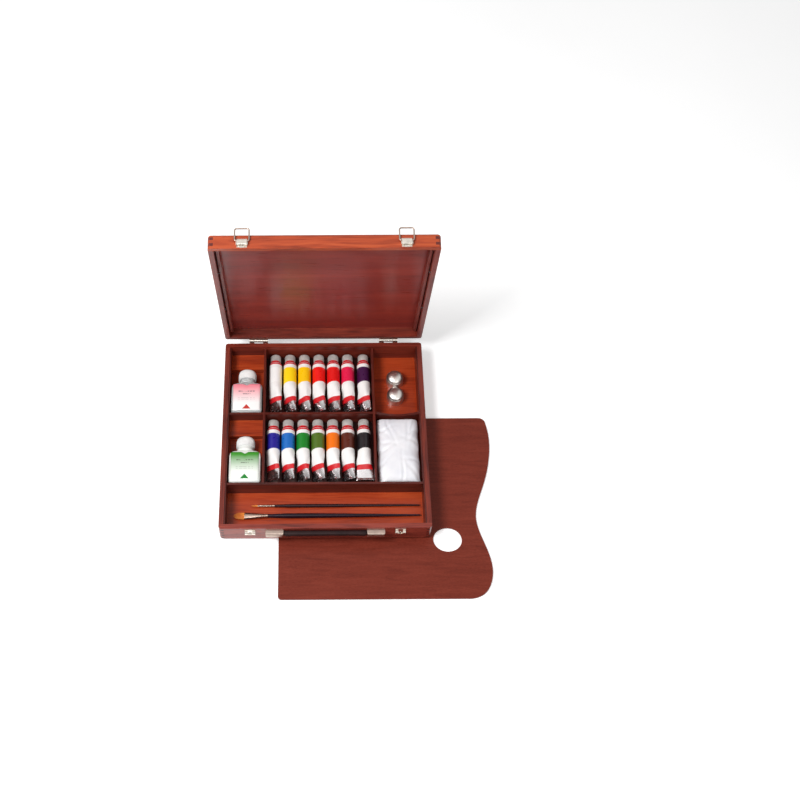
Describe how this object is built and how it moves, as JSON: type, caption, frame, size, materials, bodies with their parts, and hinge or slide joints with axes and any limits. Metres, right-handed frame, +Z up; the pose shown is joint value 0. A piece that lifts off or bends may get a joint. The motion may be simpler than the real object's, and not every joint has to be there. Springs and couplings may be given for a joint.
{
  "type": "art supply box",
  "caption": "Open wooden paint box with a hinged lid, wire latches and a strap handle, holding paint tubes, bottles, brushes, a dipper and a wrapped pack, on its loose palette.",
  "frame": {"origin": "under the middle of the case, on the table plane, which is the underside of the palette", "axes": "+X to the right of someone who faces the open box, +Y to the hinges, +Z up"},
  "size_m": [0.476, 0.5072, 0.428],
  "materials": {
    "case_wood": "stained and varnished",
    "panel_wood": "stained plywood, varnished",
    "palette_wood": "stained, oiled",
    "nickel": "bright nickel plate",
    "screw_steel": "zinc plated",
    "strap": "black, smooth",
    "clear_glass": "clear, polished",
    "white_bottle": "white, smooth",
    "bottle_cap": "white, ribbed",
    "brush_paint": "dark lacquer",
    "brush_metal": "bright ferrule with tan bristle",
    "dipper_metal": "spun metal",
    "pack_wrap": "soft white wrap",
    "tube_white": "printed aluminium",
    "tube_yellow": "printed aluminium",
    "tube_golden_yellow": "printed aluminium",
    "tube_red": "printed aluminium",
    "tube_scarlet": "printed aluminium",
    "tube_crimson": "printed aluminium",
    "tube_violet": "printed aluminium",
    "tube_dark_blue": "printed aluminium",
    "tube_blue": "printed aluminium",
    "tube_green": "printed aluminium",
    "tube_olive": "printed aluminium",
    "tube_orange": "printed aluminium",
    "tube_brown": "printed aluminium",
    "tube_black": "printed aluminium"
  },
  "bodies": {
    "case": {"base_front_rail": "case_wood", "base_rear_rail": "case_wood", "base_left_rail": "case_wood", "base_right_rail": "case_wood", "base_bottom": "panel_wood", "liner_left": "case_wood", "liner_right": "case_wood", "divider_left": "case_wood", "divider_right": "case_wood", "divider_front": "case_wood", "cross_divider_left": "case_wood", "cross_divider_middle": "case_wood", "cross_divider_right": "case_wood", "bottle_blocks": "case_wood", "hinge_base_leaves": "nickel", "hinge_pins": "nickel", "latch_catches": "nickel", "base_screws": "screw_steel", "handle_end_caps": "nickel"},
    "lid": {"lid_front_rail": "case_wood", "lid_rear_rail": "case_wood", "lid_left_rail": "case_wood", "lid_right_rail": "case_wood", "lid_panel": "panel_wood", "lid_battens": "case_wood", "hinge_lid_leaves": "nickel", "lid_screws": "screw_steel", "latch_plates": "nickel", "latch_pins": "nickel"},
    "lever_left": {"latch_lever_left": "nickel"},
    "lever_right": {"latch_lever_right": "nickel"},
    "bail_left": {"latch_bail_left": "nickel"},
    "bail_right": {"latch_bail_right": "nickel"},
    "handle": {"handle_strap": "strap"},
    "tube_white": {"paint_tube_white": "tube_white"},
    "tube_yellow": {"paint_tube_yellow": "tube_yellow"},
    "tube_golden_yellow": {"paint_tube_golden_yellow": "tube_golden_yellow"},
    "tube_red": {"paint_tube_red": "tube_red"},
    "tube_scarlet": {"paint_tube_scarlet": "tube_scarlet"},
    "tube_crimson": {"paint_tube_crimson": "tube_crimson"},
    "tube_violet": {"paint_tube_violet": "tube_violet"},
    "tube_dark_blue": {"paint_tube_dark_blue": "tube_dark_blue"},
    "tube_blue": {"paint_tube_blue": "tube_blue"},
    "tube_green": {"paint_tube_green": "tube_green"},
    "tube_olive": {"paint_tube_olive": "tube_olive"},
    "tube_orange": {"paint_tube_orange": "tube_orange"},
    "tube_brown": {"paint_tube_brown": "tube_brown"},
    "tube_black": {"paint_tube_black": "tube_black"},
    "clear_bottle": {"bottle_clear": "clear_glass", "bottle_clear_cap": "bottle_cap"},
    "white_bottle": {"bottle_white": "white_bottle", "bottle_white_cap": "bottle_cap"},
    "round_brush": {"brush_round_handle": "brush_paint", "brush_round_head": "brush_metal"},
    "flat_brush": {"brush_flat_handle": "brush_paint", "brush_flat_head": "brush_metal"},
    "dipper": {"dipper_cups": "dipper_metal", "dipper_lids": "dipper_metal"},
    "pack": {"wrapped_pack": "pack_wrap"},
    "palette": {"palette": "palette_wood"}
  },
  "joints": [
    {"name": "lid_hinge", "type": "hinge", "parent": "case", "child": "lid", "pos_m": [0, 0.191, 0.0482], "axis": [-1, 0, 0], "range_deg": [-79, 31]},
    {"name": "lever_left_throw", "type": "hinge", "parent": "lid", "child": "lever_left", "pos_m": [-0.127, 0.1252, 0.42181], "axis": [-1, 0, 0], "range_deg": [-100, 0]},
    {"name": "bail_left_swing", "type": "hinge", "parent": "lever_left", "child": "bail_left", "pos_m": [-0.127, 0.12982, 0.42271], "axis": [1, 0, 0], "range_deg": [0, 180]},
    {"name": "lever_right_throw", "type": "hinge", "parent": "lid", "child": "lever_right", "pos_m": [0.127, 0.1252, 0.42181], "axis": [-1, 0, 0], "range_deg": [-100, 0]},
    {"name": "bail_right_swing", "type": "hinge", "parent": "lever_right", "child": "bail_right", "pos_m": [0.127, 0.12982, 0.42271], "axis": [1, 0, 0], "range_deg": [0, 180]},
    {"name": "handle_pull", "type": "slide", "parent": "case", "child": "handle", "axis": [0, -1, 0], "range_m": [0, 0.004]},
    {"name": "tube_white_lift", "type": "slide", "parent": "case", "child": "tube_white", "axis": [0, 0, 1], "range_m": [0, 0.06]},
    {"name": "tube_yellow_lift", "type": "slide", "parent": "case", "child": "tube_yellow", "axis": [0, 0, 1], "range_m": [0, 0.06]},
    {"name": "tube_golden_yellow_lift", "type": "slide", "parent": "case", "child": "tube_golden_yellow", "axis": [0, 0, 1], "range_m": [0, 0.06]},
    {"name": "tube_red_lift", "type": "slide", "parent": "case", "child": "tube_red", "axis": [0, 0, 1], "range_m": [0, 0.06]},
    {"name": "tube_scarlet_lift", "type": "slide", "parent": "case", "child": "tube_scarlet", "axis": [0, 0, 1], "range_m": [0, 0.06]},
    {"name": "tube_crimson_lift", "type": "slide", "parent": "case", "child": "tube_crimson", "axis": [0, 0, 1], "range_m": [0, 0.06]},
    {"name": "tube_violet_lift", "type": "slide", "parent": "case", "child": "tube_violet", "axis": [0, 0, 1], "range_m": [0, 0.06]},
    {"name": "tube_dark_blue_lift", "type": "slide", "parent": "case", "child": "tube_dark_blue", "axis": [0, 0, 1], "range_m": [0, 0.06]},
    {"name": "tube_blue_lift", "type": "slide", "parent": "case", "child": "tube_blue", "axis": [0, 0, 1], "range_m": [0, 0.06]},
    {"name": "tube_green_lift", "type": "slide", "parent": "case", "child": "tube_green", "axis": [0, 0, 1], "range_m": [0, 0.06]},
    {"name": "tube_olive_lift", "type": "slide", "parent": "case", "child": "tube_olive", "axis": [0, 0, 1], "range_m": [0, 0.06]},
    {"name": "tube_orange_lift", "type": "slide", "parent": "case", "child": "tube_orange", "axis": [0, 0, 1], "range_m": [0, 0.06]},
    {"name": "tube_brown_lift", "type": "slide", "parent": "case", "child": "tube_brown", "axis": [0, 0, 1], "range_m": [0, 0.06]},
    {"name": "tube_black_lift", "type": "slide", "parent": "case", "child": "tube_black", "axis": [0, 0, 1], "range_m": [0, 0.06]},
    {"name": "clear_bottle_lift", "type": "slide", "parent": "case", "child": "clear_bottle", "axis": [0, 0, 1], "range_m": [0, 0.06]},
    {"name": "white_bottle_lift", "type": "slide", "parent": "case", "child": "white_bottle", "axis": [0, 0, 1], "range_m": [0, 0.06]},
    {"name": "round_brush_lift", "type": "slide", "parent": "case", "child": "round_brush", "axis": [0, 0, 1], "range_m": [0, 0.06]},
    {"name": "flat_brush_lift", "type": "slide", "parent": "case", "child": "flat_brush", "axis": [0, 0, 1], "range_m": [0, 0.06]},
    {"name": "dipper_lift", "type": "slide", "parent": "case", "child": "dipper", "axis": [0, 0, 1], "range_m": [0, 0.06]},
    {"name": "pack_lift", "type": "slide", "parent": "case", "child": "pack", "axis": [0, 0, 1], "range_m": [0, 0.06]},
    {"name": "palette_slide", "type": "slide", "parent": "case", "child": "palette", "axis": [0, -1, 0], "range_m": [0, 0.3]}
  ]
}
